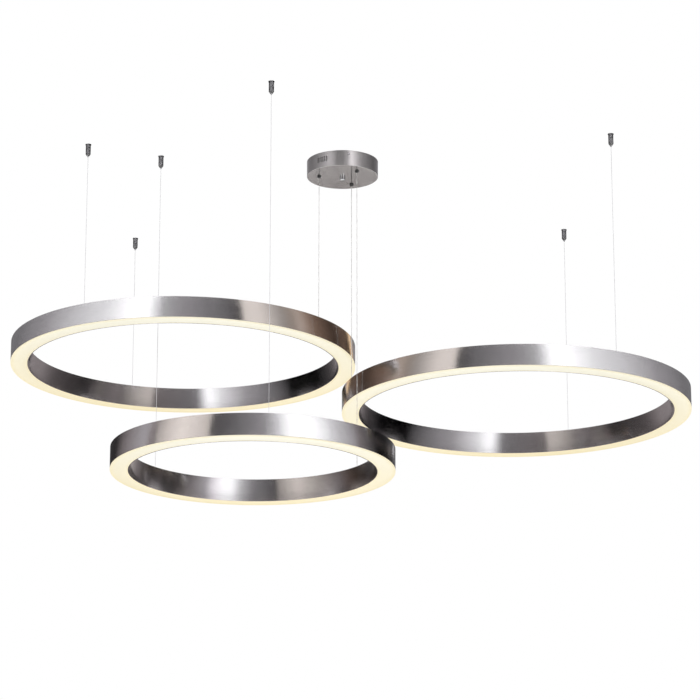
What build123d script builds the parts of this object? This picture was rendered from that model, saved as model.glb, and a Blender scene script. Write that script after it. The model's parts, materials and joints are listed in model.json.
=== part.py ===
from build123d import *
from math import cos, radians, sin, sqrt
import os

# Three-ring LED pendant. Millimetres. The origin is the middle of the canopy's bracket on
# the ceiling plane: X runs to the right, Y away from the viewer and Z up, so the whole lamp
# hangs below Z = 0. A bearing on a ring or on the canopy is an angle in degrees, counted
# from the side that faces the viewer (-Y), positive towards +X.

# ---- Fits ------------------------------------------------------------------------------
FIT_GAP = 0.3
SCREW_PLAY = 0.3
THREAD_PLAY = 0.05
RUNNING_GAP = 0.1
CORD_PLAY = 0.15
CUT_OVERRUN = 1.0

# ---- Canopy ----------------------------------------------------------------------------
CANOPY_R = 102.0
CANOPY_DEPTH = 46.0
CANOPY_WALL = 1.2
CANOPY_EDGE_R = 1.6
CEILING_GAP = 0.5

VENT_BEARINGS = (-34.4, 145.6)
VENT_COUNT = 5
VENT_PITCH = 4.2
VENT_WIDTH = 2.8
VENT_HEIGHT = 16.5
VENT_MIDDLE_Z = -21.5

SIDE_SCREW_BEARINGS = (10.0, 130.0, 250.0)
SIDE_SCREW_Z = -11.0
SIDE_SCREW_R = 1.6
SIDE_SCREW_LENGTH = 9.0
SIDE_HEAD_R = 3.6
SIDE_HEAD_HEIGHT = 2.4

# ---- Ceiling bracket -------------------------------------------------------------------
BRACKET_T = 2.0
BRACKET_MARGIN = 10.0
BRACKET_HOLE_PCD = 168.0
BRACKET_HOLE_COUNT = 4
BRACKET_HOLE_BEARING = 45.0
BRACKET_HOLE_R = 2.75
EAR_WIDTH = 18.0
EAR_DROP = 15.0
EAR_T = 1.6
SUPPLY_HOLE_R = 9.0
SUPPLY_HOLE_OFFSET = 25.0

# ---- Centre stud and cap nut -----------------------------------------------------------
STUD_R = 3.0
STUD_COLLAR_R = 5.5
STUD_COLLAR_HEIGHT = 4.0
STUD_GRIP = 6.0
CAP_NUT_R = 7.5
CAP_NUT_HEIGHT = 9.5
CAP_NUT_CROWN_R = 1.8
CAP_NUT_FLOOR = 2.5

# ---- Drivers and supply terminal -------------------------------------------------------
DRIVER_LENGTH = 70.0
DRIVER_WIDTH = 30.0
DRIVER_HEIGHT = 22.0
DRIVER_EDGE_R = 2.0
DRIVER_RADIUS = 58.0
DRIVER_BEARINGS = (92.0, 212.0, 332.0)
DRIVER_FOOT_LENGTH = 82.0
DRIVER_FOOT_WIDTH = 14.0
DRIVER_FOOT_T = 1.5
DRIVER_LEAD_HOLE_R = 2.2
DRIVER_LEAD_HOLE_DEPTH = 6.0
TERMINAL_LENGTH = 30.0
TERMINAL_DEPTH = 16.0
TERMINAL_HEIGHT = 14.0
TERMINAL_X = -31.0
TERMINAL_POLES = 3
TERMINAL_PITCH = 9.0
TERMINAL_BORE_R = 2.0
TERMINAL_SCREW_R = 1.6

# ---- Cable glands in the canopy --------------------------------------------------------
GLAND_CIRCLE_R = 67.7
GLAND_BEARINGS = {"ring_1": -82.5, "ring_2": 157.5, "ring_3": 37.5}
GLAND_BODY_R = 5.5
GLAND_TIP_R = 4.4
GLAND_BODY_HEIGHT = 4.5
GLAND_SHANK_R = 3.9
GLAND_SHANK_LENGTH = 8.0
GLAND_HOLE_PLAY = 0.2
GLAND_NUT_R = 6.2
GLAND_NUT_HEIGHT = 3.0
GRUB_R = 1.3
GRUB_LENGTH = 4.4
GRUB_STAND = 1.5
GRUB_INSET = 0.6

# ---- Cords -----------------------------------------------------------------------------
CABLE_R = 1.0
WIRE_R = 0.6

# ---- Ceiling anchors of the suspension wires -------------------------------------------
ANCHOR_FLANGE_R = 8.3
ANCHOR_FLANGE_T = 2.0
ANCHOR_STEM_R = 4.5
ANCHOR_STEM_LENGTH = 8.0
ANCHOR_HOLE_R = 2.2
SLEEVE_R = 7.1
SLEEVE_LENGTH = 27.5
SLEEVE_CAVITY_DEPTH = 15.0
NOSE_LENGTH = 5.5
NOSE_TIP_R = 3.4
PLUNGER_R = 2.0
PLUNGER_STAND = 3.0
PLUNGER_COLLAR_R = 2.8
PLUNGER_COLLAR_T = 1.2
NOSE_LIP = 1.5

# ---- Rings -----------------------------------------------------------------------------
LARGE_R = 500.0
SMALL_R = 385.0
PROFILE_WIDTH = 50.0
PROFILE_HEIGHT = 62.5
BAND_T = 1.5
GLOW_EDGE = 3.5
INNER_LIP = 0.6
COVER_RECESS = 1.0
COVER_T = 1.5
COVER_FLANGE = 10.0
LED_PLATE_T = 1.5
LED_PLATE_HEIGHT = 30.0
LED_PLATE_GAP = 1.5
LED_BOARD_T = 1.2
LED_BOARD_WIDTH = 26.0
LED_BOARD_GAP_DEG = 1.5
LED_BOARDS = 4
LED_PITCH = 28.0
LED_LENGTH = 5.6
LED_WIDTH = 3.0
LED_HEIGHT = 0.9
DIFFUSER_T = 2.5
DIFFUSER_SKIRT_T = 2.0
DIFFUSER_SKIRT_HEIGHT = 11.0
DIFFUSER_PLAY = 0.2
SPACER_R = 4.0
SPACER_PITCH = 370.0
COVER_SCREW_R = 1.9
COVER_SCREW_LENGTH = 8.0
COVER_HEAD_R = 3.6
COVER_HEAD_HEIGHT = 2.2
FITTING_R = 5.5
FITTING_HEIGHT = 4.5
FITTING_SHANK_R = 3.5
FITTING_SHANK_LENGTH = 8.0
FITTING_CHAMFER = 1.2
PAN_HEAD_EDGE = 0.45

# The first ring's glowing face hangs this far below the ceiling, and each next ring a step
# below the one before it.
RING_1_DROP = 543.0
RING_2_STEP = 162.0
RING_3_STEP = 283.0
RING_2_DROP = RING_1_DROP + RING_2_STEP
RING_3_DROP = RING_2_DROP + RING_3_STEP

# Each ring: outer radius, height of its glowing face, bearing of the power cable on the
# ring, and bearings of its two suspension wires.
RINGS = {
    "ring_1": (LARGE_R, -RING_1_DROP, 56.5, (-32.6, -157.7)),
    "ring_2": (LARGE_R, -RING_2_DROP, -77.3, (32.4, 157.6)),
    "ring_3": (SMALL_R, -RING_3_DROP, 128.5, (8.3, -129.3)),
}
# Distance of the power cable from the ring's outer wall. The second ring's cable stands
# nearer to the wall, which keeps the ring clear of the third ring's cable.
CABLE_INSETS = {"ring_1": 25.0, "ring_2": 16.0, "ring_3": 25.0}

CANOPY_INSIDE_R = CANOPY_R - CANOPY_WALL
CANOPY_FLOOR_Z = -CANOPY_DEPTH + CANOPY_WALL
SHANK_TOP_Z = -CANOPY_DEPTH + GLAND_SHANK_LENGTH
GRUB_Z = -CANOPY_DEPTH - GRUB_R - GRUB_INSET
EAR_FACE_R = sqrt((CANOPY_INSIDE_R - FIT_GAP) ** 2 - (EAR_WIDTH / 2) ** 2)
SLEEVE_BOTTOM_Z = -ANCHOR_FLANGE_T - SLEEVE_LENGTH
SLEEVE_FLOOR_Z = -ANCHOR_FLANGE_T - SLEEVE_CAVITY_DEPTH
NOSE_BOTTOM_Z = SLEEVE_BOTTOM_Z - NOSE_LENGTH
PLUNGER_SEAT_Z = NOSE_BOTTOM_Z + NOSE_LIP
WIRE_TOP_Z = SLEEVE_FLOOR_Z
COVER_TOP = PROFILE_HEIGHT - COVER_RECESS
COVER_UNDER = COVER_TOP - COVER_T


# ---- Helpers ---------------------------------------------------------------------------
def at_bearing(radius, bearing, centre=(0.0, 0.0)):
    """Plan point at a radius and a bearing round a centre."""
    angle = radians(bearing)
    return centre[0] + radius * sin(angle), centre[1] - radius * cos(angle)


def turned(*points):
    """Solid turned about Z from the (radius, height) points of its half section."""
    section = Plane.XZ * make_face(Polyline(*points, close=True))
    return revolve(section, Axis.Z)


def tube(outer, inner, low, high):
    """Round tube, or a rod where the inner radius is 0."""
    disc = Circle(outer)
    if inner > 0:
        disc -= Circle(inner)
    return Pos(0, 0, low) * extrude(disc, high - low)


def facing(bearing, radius, height):
    """Frame on a round wall: its Z axis points outwards at the bearing."""
    x, y = at_bearing(radius, bearing)
    out_x, out_y = at_bearing(1.0, bearing)
    return Plane(origin=(x, y, height), x_dir=(-out_y, out_x, 0), z_dir=(out_x, out_y, 0))


def upright(bearing, radius, height):
    """Frame for a block in the canopy: X along the wall, Y towards the middle, Z up."""
    x, y = at_bearing(radius, bearing)
    return Location((x, y, height), (0, 0, bearing))


def pan_head(radius, height, shank_r, shank_length):
    """Screw along Z with its head above the plane Z = 0 and its shank below it."""
    edge = min(radius, height) * PAN_HEAD_EDGE
    head = turned((0, 0), (radius, 0), (radius, height - edge), (radius - edge, height), (0, height))
    return head + tube(shank_r, 0, -shank_length, 0)


def group(solids):
    return Compound(children=list(solids))


# ---- Layout ----------------------------------------------------------------------------
def gland_point(ring):
    return at_bearing(GLAND_CIRCLE_R, GLAND_BEARINGS[ring])


def mid_radius(ring):
    return RINGS[ring][0] - PROFILE_WIDTH / 2


def cable_spot(ring):
    """Where the power cable ends, from the ring's own centre."""
    return at_bearing(RINGS[ring][0] - CABLE_INSETS[ring], RINGS[ring][2])


def fitting_spots(ring):
    """The cable's fitting and those of the two wires, from the ring's own centre."""
    return [cable_spot(ring)] + [at_bearing(mid_radius(ring), bearing) for bearing in RINGS[ring][3]]


def ring_centre(ring):
    """The ring hangs so that its power cable drops plumb from its gland."""
    gland_x, gland_y = gland_point(ring)
    x, y = cable_spot(ring)
    return gland_x - x, gland_y - y


def wire_points(ring):
    return [at_bearing(mid_radius(ring), bearing, ring_centre(ring)) for bearing in RINGS[ring][3]]


def on_ring(ring, solid):
    x, y = ring_centre(ring)
    return Pos(x, y, RINGS[ring][1]) * solid


# ---- Canopy pieces ---------------------------------------------------------------------
def vent_slot(bearing):
    slot = SlotOverall(VENT_HEIGHT, VENT_WIDTH, rotation=90)
    cutter = extrude(slot, CANOPY_WALL + CUT_OVERRUN, both=True)
    return facing(bearing, CANOPY_R, VENT_MIDDLE_Z) * cutter


def canopy_shell():
    cup = tube(CANOPY_R, 0, -CANOPY_DEPTH, -CEILING_GAP)
    rim = cup.edges().filter_by(GeomType.CIRCLE).sort_by(Axis.Z)[0]
    cup = fillet(rim, CANOPY_EDGE_R)
    cup -= tube(CANOPY_INSIDE_R, 0, CANOPY_FLOOR_Z, CUT_OVERRUN)
    cup -= tube(STUD_R + SCREW_PLAY, 0, -CANOPY_DEPTH - CUT_OVERRUN, 0)
    for ring in RINGS:
        x, y = gland_point(ring)
        low = -CANOPY_DEPTH - CUT_OVERRUN
        hole = tube(GLAND_SHANK_R + GLAND_HOLE_PLAY, 0, low, CANOPY_FLOOR_Z + CUT_OVERRUN)
        cup -= Pos(x, y, 0) * hole
    for middle in VENT_BEARINGS:
        for index in range(VENT_COUNT):
            cup -= vent_slot(middle + (index - (VENT_COUNT - 1) / 2) * VENT_PITCH)
    for bearing in SIDE_SCREW_BEARINGS:
        hole = tube(SIDE_SCREW_R + SCREW_PLAY, 0, -CANOPY_WALL - CUT_OVERRUN, CUT_OVERRUN)
        cup -= facing(bearing, CANOPY_R, SIDE_SCREW_Z) * hole
    return cup


def side_screws():
    screw = pan_head(SIDE_HEAD_R, SIDE_HEAD_HEIGHT, SIDE_SCREW_R, SIDE_SCREW_LENGTH)
    return group(facing(bearing, CANOPY_R, SIDE_SCREW_Z) * screw for bearing in SIDE_SCREW_BEARINGS)


def ceiling_bracket():
    plate_r = CANOPY_R - BRACKET_MARGIN
    plate = tube(plate_r, 0, -BRACKET_T, 0)
    for bearing in SIDE_SCREW_BEARINGS:
        reach = EAR_FACE_R - plate_r + EAR_WIDTH
        arm = Box(EAR_WIDTH, reach, BRACKET_T, align=(Align.CENTER, Align.MIN, Align.MAX))
        ear = Box(EAR_WIDTH, EAR_T, EAR_DROP, align=(Align.CENTER, Align.MIN, Align.MAX))
        plate += upright(bearing, EAR_FACE_R, 0) * (arm + ear)
        tapped = tube(SIDE_SCREW_R + THREAD_PLAY, 0, -EAR_T - CUT_OVERRUN, CUT_OVERRUN)
        plate -= facing(bearing, EAR_FACE_R, SIDE_SCREW_Z) * tapped
    bolt = tube(BRACKET_HOLE_R, 0, -BRACKET_T - CUT_OVERRUN, CUT_OVERRUN)
    for index in range(BRACKET_HOLE_COUNT):
        bearing = BRACKET_HOLE_BEARING + index * 360 / BRACKET_HOLE_COUNT
        x, y = at_bearing(BRACKET_HOLE_PCD / 2, bearing)
        plate -= Pos(x, y, 0) * bolt
    supply = tube(SUPPLY_HOLE_R, 0, -BRACKET_T - CUT_OVERRUN, CUT_OVERRUN)
    plate -= Pos(0, SUPPLY_HOLE_OFFSET, 0) * supply
    return plate


def centre_stud():
    collar = RegularPolygon(STUD_COLLAR_R, 6)
    stud = Pos(0, 0, -BRACKET_T - STUD_COLLAR_HEIGHT) * extrude(collar, STUD_COLLAR_HEIGHT)
    return stud + tube(STUD_R, 0, -CANOPY_DEPTH - STUD_GRIP, -BRACKET_T)


def centre_cap_nut():
    top = -CANOPY_DEPTH
    nut = tube(CAP_NUT_R, 0, top - CAP_NUT_HEIGHT, top)
    crown = nut.edges().filter_by(GeomType.CIRCLE).sort_by(Axis.Z)[0]
    nut = fillet(crown, CAP_NUT_CROWN_R)
    return nut - tube(STUD_R + THREAD_PLAY, 0, top - CAP_NUT_HEIGHT + CAP_NUT_FLOOR, top + CUT_OVERRUN)


def led_driver():
    """Driver hung under the bracket: case, two feet and a lead hole in each end."""
    top = -BRACKET_T - DRIVER_FOOT_T
    case = Pos(0, 0, top - DRIVER_HEIGHT / 2) * Box(DRIVER_LENGTH, DRIVER_WIDTH, DRIVER_HEIGHT)
    case = fillet(case.edges().filter_by(Axis.X), DRIVER_EDGE_R)
    case -= Pos(0, 0, top - DRIVER_HEIGHT / 2) * Rot(0, 90, 0) * (
        tube(DRIVER_LEAD_HOLE_R, 0, DRIVER_LENGTH / 2 - DRIVER_LEAD_HOLE_DEPTH, DRIVER_LENGTH)
        + tube(DRIVER_LEAD_HOLE_R, 0, -DRIVER_LENGTH, -DRIVER_LENGTH / 2 + DRIVER_LEAD_HOLE_DEPTH)
    )
    foot = Box(DRIVER_FOOT_LENGTH, DRIVER_FOOT_WIDTH, DRIVER_FOOT_T)
    return case + Pos(0, 0, top + DRIVER_FOOT_T / 2) * foot


def led_drivers():
    return group(upright(bearing, DRIVER_RADIUS, 0) * led_driver() for bearing in DRIVER_BEARINGS)


def terminal_block():
    """Supply terminal with a wire bore and a clamp screw hole for each pole."""
    middle_z = -BRACKET_T - TERMINAL_HEIGHT / 2
    block = Pos(TERMINAL_X, 0, middle_z) * Box(TERMINAL_DEPTH, TERMINAL_LENGTH, TERMINAL_HEIGHT)
    for index in range(TERMINAL_POLES):
        y = (index - (TERMINAL_POLES - 1) / 2) * TERMINAL_PITCH
        bore = Rot(0, 90, 0) * tube(TERMINAL_BORE_R, 0, -TERMINAL_DEPTH, TERMINAL_DEPTH)
        block -= Pos(TERMINAL_X, y, middle_z) * bore
        block -= Pos(TERMINAL_X, y, 0) * tube(TERMINAL_SCREW_R, 0, middle_z - TERMINAL_HEIGHT, middle_z)
    return block


def cable_gland():
    """Gland body under the canopy floor, its shank through the floor and a grub screw bore."""
    top = -CANOPY_DEPTH
    low = top - GLAND_BODY_HEIGHT
    bore = CABLE_R + CORD_PLAY
    gland = turned(
        (bore, low), (GLAND_TIP_R, low), (GLAND_BODY_R, low + GLAND_BODY_HEIGHT / 2), (GLAND_BODY_R, top),
        (GLAND_SHANK_R, top), (GLAND_SHANK_R, SHANK_TOP_Z), (bore, SHANK_TOP_Z),
    )
    inner_end = GLAND_BODY_R + GRUB_STAND - GRUB_LENGTH
    side_bore = tube(GRUB_R + THREAD_PLAY, 0, inner_end, GLAND_BODY_R + CUT_OVERRUN)
    return gland - Pos(0, 0, GRUB_Z) * Rot(0, 90, 0) * side_bore


def cable_glands():
    return group(Pos(*gland_point(ring), 0) * cable_gland() for ring in RINGS)


def gland_nuts():
    hexagon = RegularPolygon(GLAND_NUT_R, 6) - Circle(GLAND_SHANK_R + THREAD_PLAY)
    nut = Pos(0, 0, CANOPY_FLOOR_Z) * extrude(hexagon, GLAND_NUT_HEIGHT)
    return group(Pos(*gland_point(ring), 0) * nut for ring in RINGS)


def gland_grub_screws():
    """Clamping screws that stand out of the glands towards +X."""
    tip = GLAND_BODY_R + GRUB_STAND
    screw = Pos(0, 0, GRUB_Z) * Rot(0, 90, 0) * tube(GRUB_R, 0, tip - GRUB_LENGTH, tip)
    return group(Pos(*gland_point(ring), 0) * screw for ring in RINGS)


# ---- Ceiling anchors -------------------------------------------------------------------
def anchor_base():
    """Flange on the ceiling with the stem that the sleeve screws onto and a screw hole."""
    low = -ANCHOR_FLANGE_T - ANCHOR_STEM_LENGTH
    return turned(
        (ANCHOR_HOLE_R, 0), (ANCHOR_FLANGE_R, 0), (ANCHOR_FLANGE_R, -ANCHOR_FLANGE_T),
        (ANCHOR_STEM_R, -ANCHOR_FLANGE_T), (ANCHOR_STEM_R, low), (ANCHOR_HOLE_R, low),
    )


def anchor_sleeve():
    bore = WIRE_R + CORD_PLAY
    cavity = ANCHOR_STEM_R + THREAD_PLAY
    return turned(
        (cavity, -ANCHOR_FLANGE_T), (SLEEVE_R, -ANCHOR_FLANGE_T), (SLEEVE_R, SLEEVE_BOTTOM_Z),
        (bore, SLEEVE_BOTTOM_Z), (bore, SLEEVE_FLOOR_Z), (cavity, SLEEVE_FLOOR_Z),
    )


def gripper_nose():
    """Cone under the sleeve: a chamber for the plunger's collar above a narrow neck."""
    neck = PLUNGER_R + RUNNING_GAP
    chamber = PLUNGER_COLLAR_R + RUNNING_GAP
    return turned(
        (chamber, SLEEVE_BOTTOM_Z), (SLEEVE_R, SLEEVE_BOTTOM_Z), (NOSE_TIP_R, NOSE_BOTTOM_Z),
        (neck, NOSE_BOTTOM_Z), (neck, PLUNGER_SEAT_Z), (chamber, PLUNGER_SEAT_Z),
    )


def release_plunger():
    """Collared tube round the wire: pushed up, it frees the wire."""
    bore = WIRE_R + CORD_PLAY
    low = NOSE_BOTTOM_Z - PLUNGER_STAND
    return turned(
        (bore, low), (PLUNGER_R, low), (PLUNGER_R, PLUNGER_SEAT_Z),
        (PLUNGER_COLLAR_R, PLUNGER_SEAT_Z), (PLUNGER_COLLAR_R, PLUNGER_SEAT_Z + PLUNGER_COLLAR_T),
        (bore, PLUNGER_SEAT_Z + PLUNGER_COLLAR_T),
    )


def at_anchors(make_piece):
    points = [point for ring in RINGS for point in wire_points(ring)]
    return group(Pos(x, y, 0) * make_piece() for x, y in points)


# ---- Ring pieces, each round its own centre with the glowing face at Z = 0 --------------
def outer_band(radius):
    return tube(radius, radius - BAND_T, GLOW_EDGE, PROFILE_HEIGHT)


def inner_band(radius):
    inside = radius - PROFILE_WIDTH
    return tube(inside + BAND_T, inside, -INNER_LIP, PROFILE_HEIGHT)


def top_cover(ring):
    """Channel that closes the ring from above, its two flanges against the bands."""
    radius = RINGS[ring][0]
    outside = radius - BAND_T
    inside = radius - PROFILE_WIDTH + BAND_T
    low = COVER_TOP - COVER_FLANGE
    cover = turned(
        (inside, low), (inside, COVER_TOP), (outside, COVER_TOP), (outside, low),
        (outside - COVER_T, low), (outside - COVER_T, COVER_UNDER),
        (inside + COVER_T, COVER_UNDER), (inside + COVER_T, low),
    )
    hole = tube(FITTING_SHANK_R + THREAD_PLAY, 0, COVER_UNDER - CUT_OVERRUN, COVER_TOP + CUT_OVERRUN)
    for x, y in fitting_spots(ring):
        cover -= Pos(x, y, 0) * hole
    screw_hole = tube(
        COVER_SCREW_R + THREAD_PLAY, 0, COVER_UNDER - CUT_OVERRUN, COVER_TOP + CUT_OVERRUN
    )
    for bearing in spacer_bearings(ring):
        cover -= Pos(*at_bearing(mid_radius(ring), bearing), 0) * screw_hole
    return cover


def led_plate(radius):
    low = LED_PLATE_HEIGHT
    outside = radius - BAND_T - LED_PLATE_GAP
    inside = radius - PROFILE_WIDTH + BAND_T + LED_PLATE_GAP
    return tube(outside, inside, low, low + LED_PLATE_T)


def led_boards(ring):
    """Curved circuit boards under the plate, with a row of LED packages on each."""
    middle = mid_radius(ring)
    under = LED_PLATE_HEIGHT - LED_BOARD_T
    span = 360 / LED_BOARDS - LED_BOARD_GAP_DEG
    count = round(radians(span) * middle / LED_PITCH)
    strip = tube(middle + LED_BOARD_WIDTH / 2, middle - LED_BOARD_WIDTH / 2, under, LED_PLATE_HEIGHT)
    wedge_r = 2 * middle  # far enough out for the wedge's straight side to clear the strip
    corner = at_bearing(wedge_r, span)
    wedge = extrude(make_face(Polyline((0, 0), (0, -wedge_r), corner, close=True)), PROFILE_HEIGHT)
    package = Box(LED_LENGTH, LED_WIDTH, LED_HEIGHT, align=(Align.CENTER, Align.CENTER, Align.MAX))
    bearings = [(index + 0.5) * span / count for index in range(count)]
    board = (strip & wedge) + [upright(bearing, middle, under) * package for bearing in bearings]
    return group(Rot(0, 0, index * 360 / LED_BOARDS) * board for index in range(LED_BOARDS))


def diffuser(radius):
    """Opal channel: its face reaches out under the outer band, and its skirts stand inside."""
    behind_outer = radius - BAND_T - DIFFUSER_PLAY
    behind_inner = radius - PROFILE_WIDTH + BAND_T + DIFFUSER_PLAY
    edge = GLOW_EDGE - DIFFUSER_PLAY
    return turned(
        (behind_inner, 0), (radius, 0), (radius, edge), (behind_outer, edge),
        (behind_outer, DIFFUSER_SKIRT_HEIGHT), (behind_outer - DIFFUSER_SKIRT_T, DIFFUSER_SKIRT_HEIGHT),
        (behind_outer - DIFFUSER_SKIRT_T, DIFFUSER_T), (behind_inner + DIFFUSER_SKIRT_T, DIFFUSER_T),
        (behind_inner + DIFFUSER_SKIRT_T, DIFFUSER_SKIRT_HEIGHT), (behind_inner, DIFFUSER_SKIRT_HEIGHT),
    )


def spacer_bearings(ring):
    """Even spacers, turned half a step so that they miss the cable's fitting."""
    count = round(radians(360) * mid_radius(ring) / SPACER_PITCH)
    return [RINGS[ring][2] + (index + 0.5) * 360 / count for index in range(count)]


def spacers(ring):
    """Pillars that carry the LED plate from the cover."""
    pillar = tube(SPACER_R, COVER_SCREW_R + THREAD_PLAY, LED_PLATE_HEIGHT + LED_PLATE_T, COVER_UNDER)
    middle = mid_radius(ring)
    return group(Pos(*at_bearing(middle, bearing), 0) * pillar for bearing in spacer_bearings(ring))


def cover_screws(ring):
    screw = pan_head(COVER_HEAD_R, COVER_HEAD_HEIGHT, COVER_SCREW_R, COVER_SCREW_LENGTH)
    middle = mid_radius(ring)
    return group(
        Pos(*at_bearing(middle, bearing), COVER_TOP) * screw for bearing in spacer_bearings(ring)
    )


def wire_fittings(ring):
    """Low screwed fittings on the cover: two hold the wires and one holds the cable."""
    top = COVER_TOP + FITTING_HEIGHT
    fitting = turned(
        (0, COVER_TOP - FITTING_SHANK_LENGTH), (FITTING_SHANK_R, COVER_TOP - FITTING_SHANK_LENGTH),
        (FITTING_SHANK_R, COVER_TOP), (FITTING_R, COVER_TOP), (FITTING_R, top - FITTING_CHAMFER),
        (FITTING_R - FITTING_CHAMFER, top), (0, top),
    )
    return group(Pos(x, y, 0) * fitting for x, y in fitting_spots(ring))


# ---- Cords -----------------------------------------------------------------------------
def fitting_top_z(ring):
    return RINGS[ring][1] + COVER_TOP + FITTING_HEIGHT


def suspension_wires(ring):
    wire = tube(WIRE_R, 0, fitting_top_z(ring), WIRE_TOP_Z)
    return group(Pos(x, y, 0) * wire for x, y in wire_points(ring))


def power_cable(ring):
    x, y = gland_point(ring)
    return Pos(x, y, 0) * tube(CABLE_R, 0, fitting_top_z(ring), SHANK_TOP_Z)


# ---- Assembly --------------------------------------------------------------------------
def all_parts():
    parts = {
        "ceiling_bracket": ceiling_bracket(),
        "canopy_shell": canopy_shell(),
        "canopy_side_screws": side_screws(),
        "centre_stud": centre_stud(),
        "centre_cap_nut": centre_cap_nut(),
        "led_drivers": led_drivers(),
        "terminal_block": terminal_block(),
        "cable_glands": cable_glands(),
        "gland_nuts": gland_nuts(),
        "gland_grub_screws": gland_grub_screws(),
        "anchor_bases": at_anchors(anchor_base),
        "anchor_sleeves": at_anchors(anchor_sleeve),
        "gripper_noses": at_anchors(gripper_nose),
    }
    for ring in RINGS:
        radius = RINGS[ring][0]
        parts[ring + "_outer_band"] = on_ring(ring, outer_band(radius))
        parts[ring + "_inner_band"] = on_ring(ring, inner_band(radius))
        parts[ring + "_top_cover"] = on_ring(ring, top_cover(ring))
        parts[ring + "_led_plate"] = on_ring(ring, led_plate(radius))
        parts[ring + "_led_boards"] = on_ring(ring, led_boards(ring))
        parts[ring + "_diffuser"] = on_ring(ring, diffuser(radius))
        parts[ring + "_spacers"] = on_ring(ring, spacers(ring))
        parts[ring + "_cover_screws"] = on_ring(ring, cover_screws(ring))
        parts[ring + "_wire_fittings"] = on_ring(ring, wire_fittings(ring))
        parts[ring + "_suspension_wires"] = suspension_wires(ring)
        parts[ring + "_power_cable"] = power_cable(ring)
        for name, (x, y) in zip("ab", wire_points(ring)):
            parts[ring + "_release_plunger_" + name] = Pos(x, y, 0) * release_plunger()
    return parts


def main():
    os.makedirs("parts", exist_ok=True)
    for node, shape in all_parts().items():
        export_step(shape, os.path.join("parts", node + ".step"))
    for ring in RINGS:
        wire = WIRE_TOP_Z - fitting_top_z(ring)
        cable = SHANK_TOP_Z - fitting_top_z(ring)
        print(f"{ring}: centre {ring_centre(ring)}, each wire {wire:.1f} mm, cable {cable:.1f} mm")
        print(f"  wires at {wire_points(ring)}")


main()
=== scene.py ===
import json
import math

import bmesh
import bpy
from bpy.props import FloatProperty, FloatVectorProperty, IntProperty, PointerProperty
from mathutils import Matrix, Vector

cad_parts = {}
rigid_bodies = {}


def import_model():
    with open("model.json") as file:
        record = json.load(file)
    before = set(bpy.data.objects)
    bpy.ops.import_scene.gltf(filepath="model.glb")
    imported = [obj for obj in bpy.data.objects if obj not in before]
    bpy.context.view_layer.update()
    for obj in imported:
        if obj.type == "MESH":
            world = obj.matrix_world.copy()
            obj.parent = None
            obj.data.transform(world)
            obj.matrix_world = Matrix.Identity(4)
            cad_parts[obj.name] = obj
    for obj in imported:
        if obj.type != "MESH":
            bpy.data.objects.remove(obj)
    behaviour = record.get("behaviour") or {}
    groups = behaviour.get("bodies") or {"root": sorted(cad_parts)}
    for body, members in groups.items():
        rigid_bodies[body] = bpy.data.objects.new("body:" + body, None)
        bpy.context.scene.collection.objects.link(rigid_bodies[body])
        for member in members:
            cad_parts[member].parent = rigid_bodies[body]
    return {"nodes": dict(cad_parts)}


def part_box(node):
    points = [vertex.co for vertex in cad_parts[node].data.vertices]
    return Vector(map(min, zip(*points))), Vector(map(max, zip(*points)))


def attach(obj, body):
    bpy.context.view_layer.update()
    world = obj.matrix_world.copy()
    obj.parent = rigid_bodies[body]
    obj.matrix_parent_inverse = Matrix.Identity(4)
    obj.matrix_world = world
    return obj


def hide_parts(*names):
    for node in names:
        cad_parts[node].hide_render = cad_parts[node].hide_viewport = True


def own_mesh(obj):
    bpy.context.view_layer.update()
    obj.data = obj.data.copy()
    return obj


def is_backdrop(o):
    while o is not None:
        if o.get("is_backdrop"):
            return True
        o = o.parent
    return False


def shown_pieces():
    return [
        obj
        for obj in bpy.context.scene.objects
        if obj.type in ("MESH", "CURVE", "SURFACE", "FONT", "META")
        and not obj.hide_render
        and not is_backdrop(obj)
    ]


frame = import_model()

bl_info = {
    "name": "LED Ring Chandelier",
    "version": (1, 0, 0),
    "blender": (4, 5, 0),
    "location": "3D View > Sidebar > Chandelier",
    "description": "Dresses a pendant of three LED rings: bands, opal faces, wires, anchors and canopy",
    "category": "Object",
}

RINGS = ("ring_1", "ring_2", "ring_3")
MM = 0.001

# Tints of the light that the metal mirrors.
GREY = (1.0, 0.985, 1.04)
TAUPE = (1.0, 0.94, 0.885)
ROSE = (1.0, 0.90, 0.92)
PALE = (1.0, 1.025, 1.055)
TAN = (1.0, 0.85, 0.74)
BROWN = (1.0, 0.67, 0.50)
AMBER = (1.0, 0.70, 0.42)

# What each round wall mirrors: bearing, brightness and tint of the screens before it, from left to
# right. Two stops at nearly one bearing are a screen's edge. Bearings are in degrees and grow
# towards +X, from the viewer's side on an outer wall and from the far side on an inner one.
LARGE_OUTER = (
    (-98, 0.10, GREY), (-84, 0.18, GREY), (-66, 0.27, GREY), (-48, 0.55, GREY), (-32, 1.1, PALE),
    (-22, 1.45, PALE), (-16, 2.0, PALE), (-12, 2.5, PALE), (-9, 2.4, PALE), (-6.8, 1.8, PALE),
    (-3.5, 0.72, PALE), (2, 0.5, GREY), (16, 0.24, GREY), (21.8, 0.06, GREY), (22.2, 1.35, TAUPE),
    (28, 1.32, TAUPE), (36, 0.57, TAUPE), (40, 0.5, TAN), (43.5, 0.8, TAN), (50, 0.32, BROWN),
    (61, 0.08, BROWN), (68, 0.2, BROWN), (74.4, 0.02, BROWN), (75.2, 1.4, AMBER), (77.6, 1.5, AMBER),
    (78.4, 0.4, GREY), (84, 0.2, GREY), (98, 0.12, GREY),
)
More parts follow.
